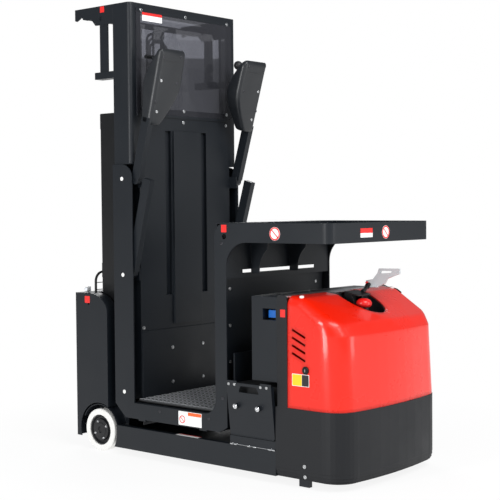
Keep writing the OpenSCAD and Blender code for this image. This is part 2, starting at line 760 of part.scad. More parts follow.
// Ribs under the tray: distance from the middle
rib_y = [-203, 71];

module front_wall() color("#3a3d42") place() {
  difference() {
    block([wall_at, -plate_in + 0.3, sill_z + 10], [wall_at + sheet_t, plate_in - 0.3, slot_z]);
    for (y = [-310, 310]) for (z = [480, 640, 800]) bar_x(y, z, 6.5, wall_at - 1, wall_at + 8);
  }
  difference() {
    block([post_end - 8, -plate_in + 0.3, slot_z - 20], [post_end - 4, plate_in - 0.3, beam_z]);
    block([post_end - 9, -260, slot_z], [post_end - 3, 260, slot_z + 17]);
  }
  block([wall_at + sheet_t, -plate_in + 0.3, slot_z - 20], [post_end - 8, plate_in - 0.3, slot_z - 16]);
  for (y = rib_y) across(y, y + 5) polygon(concat(
    [[post_end - 4, beam_z], [post_end - 4, slot_z - 2], [post_end + 42, slot_z - 2]],
    arc([post_end + 162, slot_z + 10], 120, 180, 128, 6),
    [[post_end + 96, beam_z]]
  ));
}

module tray() color("#4a4e54") place() {
  xr = tray_end - tray_r;
  bed_z = tray_top - tray_deep;
  // Bent front rim
  translate([0, 0, beam_z]) linear_extrude(rim_h) difference() {
    polygon(concat([[xr, -half]], arc([xr, -half + tray_r], tray_r, -90, 0, 8),
      arc([xr, half - tray_r], tray_r, 0, 90, 8), [[xr, half]]));
    polygon(concat([[xr - 1, -plate_in]], arc([xr, -half + tray_r], tray_r - plate_t, -90, 0, 8),
      arc([xr, half - tray_r], tray_r - plate_t, 0, 90, 8), [[xr - 1, plate_in]]));
  }
  // Bed, wall behind it and ledge over the posts
  translate([0, 0, bed_z - 4]) linear_extrude(4) polygon(concat(
    [[tray_wall_at - 4, plate_in], [tray_wall_at - 4, -plate_in], [xr, -plate_in]],
    arc([xr, -half + tray_r], tray_r - plate_t, -90, 0, 8),
    arc([xr, half - tray_r], tray_r - plate_t, 0, 90, 8), [[xr, plate_in]]));
  block([tray_wall_at - 4, -plate_in, bed_z - 4], [tray_wall_at, plate_in, tray_top]);
  block([post_at + 8, -plate_in, tray_top - 4], [tray_wall_at - 1, plate_in, tray_top]);
  block([post_at + 8, -plate_in, beam_z + 0.3], [post_at + 12, plate_in, tray_top - 1]);
  for (x = [tray_wall_at + 94, tray_wall_at + 274, tray_wall_at + 434])
    block([x, -plate_in, beam_z + 0.3], [x + 4, plate_in, bed_z - 3]);
}

// Arms and lower rails stand raised, leaning to the front

module arm_frame(side, x, z) translate([x, -arm_y, z])
  rotate([0, side > 0 ? lean_left : lean_right, 0]) children();

module pivot_tube(length) {
  w = tube_w / 2;
  difference() {
    union() {
      block([-tube_d / 2, -w, 12], [tube_d / 2, w, length]);
      bar_y(0, 0, tube_d - 8, -w, w);
      block([-tube_d / 2 + 4, -w, 0], [tube_d / 2 - 4, w, 13]);
    }
    bar_y(0, 0, 16, -w - 1, w + 1);
  }
}

module arm(side) color("#44484e") place() on_side(side) arm_frame(side, arm_at, arm_z)
  pivot_tube(arm_l - pod_l + 30);

// Pod outline across the truck: height in the pod, distance of the inner edge from the outer one
pod_shape = [[0, 57], [40, 62], [90, 88], [140, 122], [190, 142], [260, 150], [320, 150]];

module pod(side) color("#3f4247") place() on_side(side) arm_frame(side, arm_at, arm_z) {
  z0 = arm_l - pod_l;
  w = tube_w / 2;
  difference() {
    translate([tube_d / 2 + 6, 0, z0]) rotate([0, -90, 0]) linear_extrude(tube_d + 50) polygon(concat(
      [[0, -w], [0, -w + pod_shape[0][1]]],
      [for (p = pod_shape) [p[0], -w + p[1]]],
      arc([pod_l - 22, -w + 128], 22, 90, 0, 5),
      arc([pod_l - 22, -w + 22], 22, 0, -90, 5)
    ));
    block([-tube_d / 2 - 0.3, -w - 1, z0 - 1], [tube_d / 2 + 0.3, w + 0.3, z0 + 31]);
    // The back narrows towards the tube end
    translate([-tube_d / 2 - 10, -w - 1, z0 - 1]) rotate([0, -24, 0]) block([-100, 0, 0], [0, 200, 200]);
  }
}

module steer_disc() color("#202226") place() on_side(1) arm_frame(1, arm_at, arm_z) {
  translate([-tube_d / 2 - 44, 66, arm_l - 70]) rotate([0, -90, 0]) {
    cylinder(d = 104, h = 14);
    translate([28, 0, 14]) cylinder(d = 14, h = 18);
    translate([28, 0, 46]) sphere(d = 40);
  }
}

module hand_lever() color("#8e9297") place() on_side(-1) arm_frame(-1, arm_at, arm_z) {
  translate([-tube_d / 2 - 44, 60, arm_l - 60]) rotate([0, -90, 0]) {
    cylinder(d = 46, h = 16);
    translate([0, 0, 16]) cylinder(d = 14, h = 22);
  }
  bar_y(-tube_d / 2 - 88, arm_l - 60, 16, 20, 100);
}

module guard(side) color("#44484e") place() on_side(side) arm_frame(side, low_at, guard_z)
  pivot_tube(guard_l);

chassis_frame();
front_skirt();
hood();
hood_liner();
stop_button();
button_guard();
release_handle();
deck_plate();
battery();
control_box();
power_plug();
outer_mast();
lift_cylinder();
rear_cover();
mesh_guard();
rear_lamp();
drive_tyre(1);  // drive_tyre_left
drive_tyre(-1);  // drive_tyre_right
drive_hub(1);  // drive_hub_left
drive_hub(-1);  // drive_hub_right
caster_fork(1);  // caster_fork_left
caster_fork(-1);  // caster_fork_right
caster_wheel(1);  // caster_wheel_left
caster_wheel(-1);  // caster_wheel_right
battery_door(1);  // battery_door_left
battery_door(-1);  // battery_door_right
middle_mast();
lift_rod();
inner_mast();
platform_floor();
floor_mat();
side_plate(1);  // side_plate_left
side_plate(-1);  // side_plate_right
back_panel();
window();
top_bracket();
front_wall();
tray();
arm(1);  // arm_left
arm(-1);  // arm_right
pod(1);  // pod_left
pod(-1);  // pod_right
steer_disc();
hand_lever();
guard(1);  // guard_left
guard(-1);  // guard_right
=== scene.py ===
# Order picker truck: finishes, small pieces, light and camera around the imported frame
import math

import bmesh
import bpy
from mathutils import Matrix, Vector


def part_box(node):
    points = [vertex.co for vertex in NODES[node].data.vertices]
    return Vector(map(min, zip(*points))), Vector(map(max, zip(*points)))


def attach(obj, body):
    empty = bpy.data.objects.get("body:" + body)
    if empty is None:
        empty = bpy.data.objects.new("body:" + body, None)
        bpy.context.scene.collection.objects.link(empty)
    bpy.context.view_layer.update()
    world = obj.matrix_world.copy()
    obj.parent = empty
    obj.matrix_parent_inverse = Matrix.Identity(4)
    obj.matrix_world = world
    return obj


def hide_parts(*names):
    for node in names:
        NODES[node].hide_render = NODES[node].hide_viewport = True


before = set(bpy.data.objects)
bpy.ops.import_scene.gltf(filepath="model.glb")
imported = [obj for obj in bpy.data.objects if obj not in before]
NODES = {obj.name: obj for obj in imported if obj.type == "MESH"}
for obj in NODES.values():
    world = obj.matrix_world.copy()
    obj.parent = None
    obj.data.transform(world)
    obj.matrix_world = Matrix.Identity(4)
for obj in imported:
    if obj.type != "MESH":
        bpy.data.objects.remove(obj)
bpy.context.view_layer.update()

MM = 0.001
SIDES = (("left", 1), ("right", -1))

# Directions of the row frame
FRONT = (1, 0, 0)
BACKWARD = (-1, 0, 0)
LEFT = (0, 1, 0)
RIGHT = (0, -1, 0)
UP = (0, 0, 1)
DOWN = (0, 0, -1)


def box(node):
    """Lowest and highest corner of a node."""
    low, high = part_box(node)
    return Vector(low), Vector(high)


# Places taken from the frame, in metres
PANEL_LOW = box("back_panel")[0]
WINDOW_LOW, WINDOW_HIGH = box("window")
MAT_LOW, MAT_HIGH = box("floor_mat")
HALF = abs(box("side_plate_right")[0].y)
BACK = box("rear_cover")[0].x


# Materials

def linear(r, g, b):
    """Linear colour of an 8 bit display colour."""
    def one(v):
        v /= 255
        return v / 12.92 if v <= 0.04045 else ((v + 0.055) / 1.055) ** 2.4
    return (one(r), one(g), one(b), 1.0)


def dim(shade, factor):
    """A darker shade of a colour."""
    return tuple(c * factor for c in shade[:3]) + (1.0,)


class Shader:
    """A node material built from a Principled shader."""

    def __init__(self, name, **sockets):
        self.mat = bpy.data.materials.new(name)
        self.mat.use_nodes = True
        self.nodes = self.mat.node_tree.nodes
        self.links = self.mat.node_tree.links
        self.bsdf = self.nodes["Principled BSDF"]
        self.coord = self.add("ShaderNodeTexCoord")
        self.place = self.coord.outputs["Object"]
        self.height = None
        for key, value in sockets.items():
            self.bsdf.inputs[key.replace("_", " ")].default_value = value

    def add(self, kind, **values):
        """A new node with some of its settings."""
        node = self.nodes.new(kind)
        for key, value in values.items():
            setattr(node, key, value)
        return node

    def noise(self, scale, detail=3.0, rough=0.55, stretch=(1, 1, 1)):
        """Noise over the object: waves a metre, octaves, their share and stretch."""
        mapping = self.add("ShaderNodeMapping")
        mapping.inputs["Scale"].default_value = stretch
        self.links.new(self.place, mapping.inputs["Vector"])
        node = self.add("ShaderNodeTexNoise")
        node.inputs["Scale"].default_value = scale
        node.inputs["Detail"].default_value = detail
        node.inputs["Roughness"].default_value = rough
        self.links.new(mapping.outputs["Vector"], node.inputs["Vector"])
        return node.outputs["Fac"]

    def between(self, fac, low, high, start=0.3, end=0.7):
        """A number that runs from low to high as fac runs from start to end."""
        node = self.add("ShaderNodeMapRange")
        node.inputs["From Min"].default_value = start
        node.inputs["From Max"].default_value = end
        node.inputs["To Min"].default_value = low
        node.inputs["To Max"].default_value = high
        self.links.new(fac, node.inputs["Value"])
        return node.outputs["Result"]

    def blend(self, fac, first, second):
        """A colour mixed from two."""
        node = self.add("ShaderNodeMix", data_type="RGBA")
        self.links.new(fac, node.inputs["Factor"])
        for key, value in (("A", first), ("B", second)):
            socket = [s for s in node.inputs if s.name == key and s.type == "RGBA"][0]
            socket.default_value = value
        return [s for s in node.outputs if s.type == "RGBA"][0]

    def color(self, output):
        """Sets the base colour."""
        self.links.new(output, self.bsdf.inputs["Base Color"])

    def rough(self, output):
        """Sets the roughness."""
        self.links.new(output, self.bsdf.inputs["Roughness"])

    def bump(self, output, strength, distance):
        """Fine relief, on top of the soft edges."""
        node = self.add("ShaderNodeBump")
        node.inputs["Strength"].default_value = strength
        node.inputs["Distance"].default_value = distance
        self.links.new(output, node.inputs["Height"])
        if self.height is not None:
            self.links.new(self.height, node.inputs["Normal"])
        self.height = node.outputs["Normal"]
        self.links.new(self.height, self.bsdf.inputs["Normal"])

    def soft_edge(self, radius):
        """Rounds edges in the shading, where radius isn't nought."""
        if not radius:
            return
        node = self.add("ShaderNodeBevel", samples=4)
        node.inputs["Radius"].default_value = radius
        self.height = node.outputs["Normal"]
        self.links.new(self.height, self.bsdf.inputs["Normal"])


def powder(name, shade, rough=0.42, edge=0.0015):
    """Textured powder coat: fine orange peel, slight shade and gloss changes."""
    look = Shader(name, Roughness=rough, Specular_IOR_Level=0.36)
    look.soft_edge(edge)
    look.color(look.blend(look.noise(scale=2.6, detail=4.0), dim(shade, 0.86), shade))
    look.rough(look.between(look.noise(scale=5.0, detail=5.0), rough - 0.05, rough + 0.08))
    look.bump(look.noise(scale=900.0, detail=2.0), strength=0.18, distance=0.0004)
    return look.mat


def gloss_paint(name, shade, rough=0.16, edge=0.028):
    """Wet paint under a clear coat, with the faint waviness of a sprayed moulding."""
    look = Shader(name, Roughness=rough + 0.12, Coat_Weight=0.45, Coat_Roughness=0.07,
                  Specular_IOR_Level=0.3)
    look.soft_edge(edge)
    look.color(look.blend(look.noise(scale=1.8, detail=3.0), dim(shade, 0.9), shade))
    look.rough(look.between(look.noise(scale=7.0, detail=4.0), rough + 0.08, rough + 0.18))
    look.bump(look.noise(scale=55.0, detail=1.0), strength=0.05, distance=0.0006)
    return look.mat


def moulded(name, shade, rough=0.5, grain=1400.0, edge=0.001):
    """Moulded plastic with a fine grain."""
    look = Shader(name, Roughness=rough)
    look.soft_edge(edge)
    light = tuple(min(1.0, c * 1.18 + 0.002) for c in shade[:3]) + (1.0,)
    look.color(look.blend(look.noise(scale=9.0, detail=4.0), shade, light))
    look.rough(look.between(look.noise(scale=14.0, detail=4.0), rough - 0.06, rough + 0.08))
    look.bump(look.noise(scale=grain, detail=2.0), strength=0.22, distance=0.0003)
    return look.mat


def label(name, shade):
    """Blank label film: even, with a faint grain and no rounded edge."""
    return moulded(name, shade, rough=0.35, grain=300.0, edge=0.0)


def metal(name, shade, rough=0.3, stretch=(1, 1, 12)):
    """Machined or plated metal with fine drawn lines and small stains."""
    look = Shader(name, Metallic=1.0, Roughness=rough)
    look.soft_edge(0.0008)
    look.color(look.blend(look.noise(scale=30.0, detail=5.0), dim(shade, 0.72), shade))
    lines = look.noise(scale=260.0, detail=3.0, rough=0.6, stretch=stretch)
    look.rough(look.between(lines, rough - 0.08, rough + 0.12))
    fine = look.noise(scale=420.0, detail=2.0, rough=0.6, stretch=stretch)
    look.bump(fine, strength=0.12, distance=0.0002)
    return look.mat


def tyre_white():
    """Pale non-marking tyre, a little mottled."""
    look = Shader("white_tyre", Roughness=0.55)
    look.soft_edge(0.002)
    mottle = look.noise(scale=22.0, detail=6.0, rough=0.6)
    look.color(look.blend(mottle, linear(232, 231, 227), linear(250, 250, 247)))
    look.rough(look.between(look.noise(scale=30.0, detail=4.0), 0.45, 0.7))
    look.bump(look.noise(scale=160.0, detail=4.0), strength=0.2, distance=0.0006)
    return look.mat


def tyre_black():
    """Dark rubber of the casters."""
    look = Shader("caster_rubber", Roughness=0.6)
    look.soft_edge(0.002)
    look.color(look.blend(look.noise(scale=40.0, detail=5.0), linear(26, 26, 28), linear(52, 52, 54)))
    look.bump(look.noise(scale=220.0, detail=4.0), strength=0.25, distance=0.0005)
    return look.mat


def mat_rubber():
    """Grey rubber of the floor mat."""
    look = Shader("mat_rubber", Roughness=0.55)
    look.color(look.blend(look.noise(scale=12.0, detail=6.0), linear(52, 54, 56), linear(76, 78, 80)))
    look.rough(look.between(look.noise(scale=40.0, detail=4.0), 0.42, 0.65))
    look.bump(look.noise(scale=500.0, detail=3.0), strength=0.3, distance=0.0004)
    return look.mat


def shade_tinted_sheet():
    """Clear sheet of the window, tinted dark grey: painted shade of the dim mast behind it."""
    look = Shader("shade_tinted_sheet", Roughness=0.04, Transmission_Weight=0.55, IOR=1.3, Alpha=0.94)
    look.rough(look.between(look.noise(scale=4.0), 0.02, 0.07))
    # Dark grey tint: painted shade of the mast seen through the sheet.
    look.color(look.blend(look.noise(scale=3.0), linear(66, 67, 73), linear(76, 77, 83)))
    return look.mat


BLACK = linear(14, 15, 17)
EVEN = (1, 1, 1)

M_CHARCOAL = powder("charcoal_powder", linear(20, 25, 31))
M_SKIRT = powder("skirt_powder", linear(20, 22, 26), rough=0.5, edge=0.003)
M_MAST = powder("mast_paint", linear(17, 18, 20), rough=0.34)
M_BLACK = powder("black_paint", BLACK, rough=0.36)
M_HUB = powder("hub_paint", linear(28, 29, 31), rough=0.4)
M_HOOD = gloss_paint("hood_lacquer", linear(238, 30, 3))
M_GREY = moulded("grey_moulding", linear(150, 152, 154), rough=0.45)
M_LINER = moulded("dark_moulding", linear(30, 31, 34), rough=0.5)
M_POD = moulded("pod_moulding", linear(24, 27, 31), rough=0.36)
M_RED = moulded("red_moulding", linear(214, 24, 22), rough=0.28)
M_BLUE = moulded("blue_moulding", linear(20, 104, 196), rough=0.32)
M_CAP = moulded("white_moulding", linear(232, 232, 230), rough=0.4)
M_BATTERY = moulded("battery_case", linear(34, 35, 37), rough=0.55)
M_HANDLE = moulded("handle_moulding", linear(186, 189, 192), rough=0.34)
M_LENS = moulded("lamp_lens", linear(220, 224, 230), rough=0.12)
# Raised mat bars: the same rubber as the mat, painted light grey as a highlight on the rib tops.
M_MAT_BAR_HIGHLIGHT = moulded("mat_bar_painted_highlight", linear(158, 160, 163), rough=0.45, grain=500.0, edge=0.0)
M_STEEL = metal("zinc_steel", (0.56, 0.57, 0.58, 1.0), rough=0.34)
M_CHROME = metal("chrome_rod", (0.82, 0.83, 0.85, 1.0), rough=0.14)
M_SCREW = metal("screw_steel", (0.62, 0.63, 0.64, 1.0), rough=0.28, stretch=EVEN)
M_DARK_SCREW = metal("dark_screw", (0.09, 0.09, 0.1, 1.0), rough=0.34, stretch=EVEN)
M_CHAIN = metal("chain_steel", (0.2, 0.2, 0.21, 1.0), rough=0.4, stretch=EVEN)
M_LABEL_RED = label("label_red", linear(222, 38, 34))
M_LABEL_WHITE = label("label_white", linear(238, 238, 236))
M_LABEL_YELLOW = label("label_yellow", linear(250, 200, 30))
M_LABEL_ORANGE = label("label_orange", linear(240, 96, 34))
M_LABEL_BLACK = label("label_black", linear(30, 30, 32))
M_TYRE = tyre_white()
M_CASTER = tyre_black()
M_MAT = mat_rubber()
M_WINDOW = shade_tinted_sheet()

# Finish of each node, and of each node that comes as left and right
FINISH = {
    "chassis_frame": M_CHARCOAL,
    "front_skirt": M_SKIRT,
    "hood": M_HOOD,
    "hood_liner": M_LINER,
    "stop_button": M_RED,
    "button_guard": M_BLACK,
    "release_handle": M_HANDLE,
    "deck_plate": M_STEEL,
    "battery": M_BATTERY,
    "control_box": M_CHARCOAL,
    "power_plug": M_BLUE,
    "outer_mast": M_MAST,
    "middle_mast": M_MAST,
    "inner_mast": M_MAST,
    "lift_cylinder": M_BLACK,
    "lift_rod": M_CHROME,
    "rear_cover": M_CHARCOAL,
    "mesh_guard": M_BLACK,
    "rear_lamp": M_GREY,
    "platform_floor": M_BLACK,
    "floor_mat": M_MAT,
    "back_panel": M_CHARCOAL,
    "window": M_WINDOW,
    "top_bracket": M_CHARCOAL,
    "front_wall": M_CHARCOAL,
    "tray": M_CHARCOAL,
    "steer_disc": M_POD,
    "hand_lever": M_SCREW,
}
SIDED_FINISH = {
    "side_plate": M_CHARCOAL,
    "drive_tyre": M_TYRE,
    "drive_hub": M_HUB,
    "caster_fork": M_STEEL,
    "caster_wheel": M_CASTER,
    "battery_door": M_CHARCOAL,
    "arm": M_CHARCOAL,
    "guard": M_CHARCOAL,
    "pod": M_POD,
}
for stem, mat in SIDED_FINISH.items():
    for side, _ in SIDES:
        FINISH[f"{stem}_{side}"] = mat

for name, mat in FINISH.items():
    slots = NODES[name].data.materials
    slots.clear()
    slots.append(mat)

bpy.context.view_layer.update()


# Mesh helpers

def finish_mesh(bm, name, mat, body, smooth):
    """Makes a piece of a bmesh, shades it and lets it ride on a body."""
    mesh = bpy.data.meshes.new(name)
    bmesh.ops.recalc_face_normals(bm, faces=bm.faces)
    bm.to_mesh(mesh)
    bm.free()
    obj = bpy.data.objects.new(name, mesh)
    bpy.context.scene.collection.objects.link(obj)
    mesh.materials.append(mat)
    for poly in mesh.polygons:
        poly.use_smooth = True
    mesh.set_sharp_from_angle(angle=math.radians(smooth))
    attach(obj, body)
    return obj


def ring(bm, matrix, points):
    """Vertices at points."""
    return [bm.verts.new(matrix @ Vector(point)) for point in points]


def skin(bm, rings, closed=False):
    """Faces from ring to ring, with a cap at both ends or closed on itself."""
    following = rings[1:] + rings[:1] if closed else rings[1:]
    for low, high in zip(rings, following):
        for i in range(len(low)):
            j = (i + 1) % len(low)
            bm.faces.new((low[i], low[j], high[j], high[i]))
    if not closed:
        bm.faces.new(list(reversed(rings[0])))
        bm.faces.new(rings[-1])


def circle(radius, height, steps):
    """Points of a level circle."""
    angles = [2 * math.pi * i / steps for i in range(steps)]
    return [(radius * math.cos(a), radius * math.sin(a), height) for a in angles]


def add_disc(bm, matrix, profile, steps):
    """Turned shape: profile is a list of radius and height, from the seat up."""
    skin(bm, [ring(bm, matrix, circle(radius, height, steps)) for radius, height in profile])


def add_washer(bm, matrix, outer, inner, depth, steps=36):
    """Flat ring."""
    corners = ((outer, 0), (outer, depth), (inner, depth), (inner, 0))
    skin(bm, [ring(bm, matrix, circle(radius, height, steps)) for radius, height in corners], True)


def add_slab(bm, matrix, outline, depth, inset=0.0):
    """Flat plate from an outline in local X and Y, raised by depth, with a small chamfer."""
    count = len(outline)
    middle = Vector((sum(x for x, y in outline) / count, sum(y for x, y in outline) / count))
    layers = [(0.0, 0.0), (depth, inset)]
    if inset:
        layers.insert(1, (depth - inset, 0.0))
    rings = []
    for height, taken in layers:
        points = []
        for corner in outline:
            away = Vector(corner) - middle
            kept = middle + away * (1 - taken / max(away.length, 1e-6))
            points.append((kept.x, kept.y, height))
        rings.append(ring(bm, matrix, points))
    skin(bm, rings)


def add_tube(bm, points, radius, count, closed=False):
    """Tube along points, with count sides."""
    rings = []
    across = None
    last = len(points) - 1
    for i, point in enumerate(points):
        before = points[i - 1] if i or closed else point
        after = points[(i + 1) % len(points)] if i < last or closed else point
        along = (Vector(after) - Vector(before)).normalized()
        if across is None:
            across = along.orthogonal().normalized()
        across = (across - along * across.dot(along)).normalized()
        turn = Matrix((across, along.cross(across), along)).transposed().to_4x4()
        rings.append(ring(bm, Matrix.Translation(Vector(point)) @ turn, circle(radius, 0, count)))
    skin(bm, rings, closed)


def round_rect(w, h, r, steps=4):
    """Outline of a rectangle with round corners."""
    points = []
    x, y = w / 2 - r, h / 2 - r
    for cx, cy, start in ((x, y, 0), (-x, y, 90), (-x, -y, 180), (x, -y, 270)):
        for i in range(steps + 1):
            a = math.radians(start + 90 * i / steps)
            points.append((cx + r * math.cos(a), cy + r * math.sin(a)))
    return points


def aim(place, direction):
    """Matrix that puts local Z along direction at place."""
    turn = Vector(direction).to_track_quat("Z", "Y").to_matrix().to_4x4()
    return Matrix.Translation(Vector(place)) @ turn


def face_on(place, normal, up):
    """Matrix at place with local Z along a face's normal and local Y upwards in the face."""
    n = Vector(normal).normalized()
    u = Vector(up)
    u = (u - n * u.dot(n)).normalized()
    turn = Matrix((u.cross(n), u, n)).transposed().to_4x4()
    return Matrix.Translation(Vector(place)) @ turn


def round_head(radius, height=0.0022):
    """Profile of a round screw head with its recess."""
    shape = ((1.0, 0.0), (1.0, 0.45), (0.86, 0.85), (0.5, 1.0), (0.42, 1.0), (0.4, 0.35))
    return [(radius * r, height * h) for r, h in shape]


def hex_head(radius, height=0.005):
    """Profile of a hexagon bolt on its washer."""
    shape = ((1.35, 0.0), (1.35, 0.2), (1.0, 0.22), (1.0, 0.9), (0.85, 1.0))
    return [(radius * r, height * h) for r, h in shape]


def turned(name, body, mat, seats, profile, steps, smooth=30):
    """One piece of equal turned shapes, one on each seat."""
    bm = bmesh.new()
    for seat in seats:
        add_disc(bm, seat, profile, steps)
    return finish_mesh(bm, name, mat, body, smooth)


def bars(name, body, mat, runs, smooth=40):
    """One piece of round bars: runs of points, radius and number of sides."""
    bm = bmesh.new()
    for points, radius, count in runs:
        add_tube(bm, points, radius, count)
    return finish_mesh(bm, name, mat, body, smooth)


def screws(name, body, places, direction, radius, mat=M_SCREW):
    """Screw heads at places, all facing direction."""
    seats = [aim(place, direction) for place in places]
    return turned(name, body, mat, seats, round_head(radius), 16)


def plates(name, body, rows, mat, slot, normal, up=UP, depth=0.0006, corner=0.002):
    """Thin plates or stickers: rows of centre, width and height. They lie against a face."""
    bm = bmesh.new()
    for centre, w, h in rows:
        add_slab(bm, face_on(centre, normal, up), round_rect(w, h, min(corner, w / 3, h / 3)), depth)
    return finish_mesh(bm, name, mat, body, 30)


def at(ahead, across, high):
    """Row frame point from millimetres: distance from the mast end, across, height."""
    return Vector((BACK + ahead * MM, across * MM, high * MM))


def drop(node, start, direction):
    """Point and normal where a ray from start meets a node's surface."""
    hit, place, normal, _ = NODES[node].ray_cast(start, Vector(direction))
    if not hit:
        raise ValueError(f"no surface of {node} from {tuple(start)}")
    return place, normal


def cut(node, name, boxes):
    """Takes blocks out of a node's look. The cutter stays hidden."""
    bm = bmesh.new()
    for low, high in boxes:
        made = bmesh.ops.create_cube(bm, size=1.0)["verts"]
        bmesh.ops.scale(bm, vec=high - low, verts=made)
        bmesh.ops.translate(bm, vec=(low + high) / 2, verts=made)
    mesh = bpy.data.meshes.new(name)
    bm.to_mesh(mesh)
    bm.free()
    tool = bpy.data.objects.new(name, mesh)
    bpy.context.scene.collection.objects.link(tool)
    tool.hide_render = True
    tool.hide_viewport = True
    mod = NODES[node].modifiers.new(name, "BOOLEAN")
    mod.operation = "DIFFERENCE"
    mod.solver = "EXACT"
    mod.object = tool


# Platform: openings, screws, caps

HALF_MM = HALF / MM


def open_window():
    """Fuller window opening in the back panel."""
    side, sill, head = 0.008, 0.006, 0.022
    past, gap = 0.1, 0.0001
    half = WINDOW_HIGH.y - side
    low = Vector((PANEL_LOW.x - past, -half, WINDOW_LOW.z + sill))
    high = Vector((WINDOW_LOW.x - gap, half, WINDOW_HIGH.z - head))
    cut("back_panel", "window_cutter", [(low, high)])


def slim_uprights():
    """Slimmer uprights of the top bracket: a strip off the inner face of each."""
    rear, front, inner, outer, foot, head = 179, 240, 310, 358, 1792.5, 2079.5
    cut("top_bracket", "upright_cutter", [
        (at(rear, -outer, foot), at(front, -inner, head)),
        (at(rear, inner, foot), at(front, outer, head)),
    ])


def panel_screws():
    """Screws of the window and of the sheet under it: heights, each with its places across."""
    wide, narrow = (-0.292, -0.016, 0.292), (-0.298, 0.298)
    for name, face, rows in (
            ("window_screws", WINDOW_HIGH.x, ((2.068, (-0.299, 0.0, 0.301)), (1.617, wide))),
            ("panel_screws", WINDOW_LOW.x, ((1.563, wide), (0.594, narrow)))):
        places = [(face, y, z) for z, across in rows for y in across]
        screws(name, "platform", places, FRONT, 0.0085)


def kick_bolts():
    """Four bolts of the kick plate, low on the back panel."""
    starts = [at(700, y, z) for y in (-113, 101) for z in (487, 322)]
    places = [drop("back_panel", start, BACKWARD)[0] for start in starts]
    screws("kick_bolts", "platform", places, FRONT, 0.009)


def wall_screws():
    """Screws of the front wall. The ray goes beside the hole that each screw covers."""
    beside = 6
    places = []
    for y in (-310, 310):
        for z in (480, 640, 800):
            place, _ = drop("front_wall", at(1000, y + beside, z), BACKWARD)
            place.y -= beside * MM
            places.append(place)
    screws("wall_screws", "platform", places, FRONT, 0.008)


def window_frame():
    """Dark strips over the window's upper and lower edge."""
    face, width = WINDOW_HIGH.x, 0.661
    rows = [((face, 0.0, WINDOW_HIGH.z - 0.010), width, 0.020),
            ((face, 0.0, WINDOW_LOW.z + 0.006), width, 0.012)]
    plates("window_frame", "platform", rows, M_CHARCOAL, "powder_coat", FRONT, depth=0.0012)


def column_caps():
    """White caps on the outside of both columns."""
    sunk = 0.4
    profile = [(0.0085, -0.004), (0.0095, 0.0), (0.0092, 0.0014), (0.007, 0.002)]
    for side, sign in SIDES:
        seats = [aim(at(330, sign * (HALF_MM - sunk), z), (0, sign, 0)) for z in (1290, 845, 300)]
        turned(f"column_caps_{side}", "platform", M_CAP, seats, profile, 20)


def post_screws():
    """Dark screws on the tray's posts and the sill."""
    spots = ((942, 1000), (942, 330), (560, 232), (860, 232))
    for side, sign in SIDES:
        places = [at(x, sign * HALF_MM, z) for x, z in spots]
        screws(f"post_screws_{side}", "platform", places, (0, sign, 0), 0.007, M_DARK_SCREW)


# Drive wheels

def hubs():
    """Drive hubs turned in one piece, with four small bright bolts."""
    ahead, axle, inner, face = 0.155, 0.1, 0.075, 0.069
    profile = [(0.0718, 0.004), (0.0718, face - 0.006), (0.069, face - 0.003), (0.064, face - 0.003),
               (0.06, face - 0.011), (0.053, face - 0.012), (0.05, face - 0.004), (0.034, face - 0.003),
               (0.032, face), (0.016, face + 0.0005), (0.014, face - 0.004), (0.006, face - 0.004)]
    for side, sign in SIDES:
        body = f"drive_wheel_{side}"
        seat = aim((BACK + ahead, sign * (HALF - inner), axle), (0, sign, 0))
        hub = turned(f"hub_{side}", body, M_HUB, [seat], profile, 64, 35)
        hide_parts(f"drive_hub_{side}")
        bolts = []
        for k in range(4):
            a = math.radians(27 + 90 * k)
            place = Vector((0.042 * math.cos(a), 0.042 * math.sin(a), face - 0.0038))
            bolts.append(seat @ Matrix.Translation(place))
        turned(f"hub_bolts_{side}", body, M_SCREW, bolts, hex_head(0.0046), 6)


# Labels and signs, all blank

FILM = 0.0006
WHITE_FILM = (M_LABEL_WHITE, "handle_grey")
RED_FILM = (M_LABEL_RED, "red_plastic")
ORANGE_FILM = (M_LABEL_ORANGE, "red_plastic")
YELLOW_FILM = (M_LABEL_YELLOW, "handle_grey")
BLACK_FILM = (M_LABEL_BLACK, "black_steel")


def sticker(name, body, centre, w, h, film, normal, **more):
    """A blank label on a face. A film is its material and a slot name; the slot name is not used."""
    mat, slot = film
    plates(name, body, [(centre, w, h)], mat, slot, normal, **more)


def round_sign(name, centre, normal, radius):
    """Blank white disc with a red rim and slash."""
    seat = face_on(centre, normal, UP)
    disc = [(radius, 0.0), (radius, FILM)]
    turned(name + "_face", "platform", M_LABEL_WHITE, [seat], disc, 36)
    bm = bmesh.new()
    lift = seat @ Matrix.Translation((0, 0, FILM))
    add_washer(bm, lift, radius * 0.97, radius * 0.76, FILM / 2)
    slash = round_rect(radius * 1.6, radius * 0.16, 0.001)
    add_slab(bm, lift @ Matrix.Rotation(math.radians(-45), 4, "Z"), slash, FILM / 2)
    finish_mesh(bm, name + "_ring", M_LABEL_RED, "platform", 30)


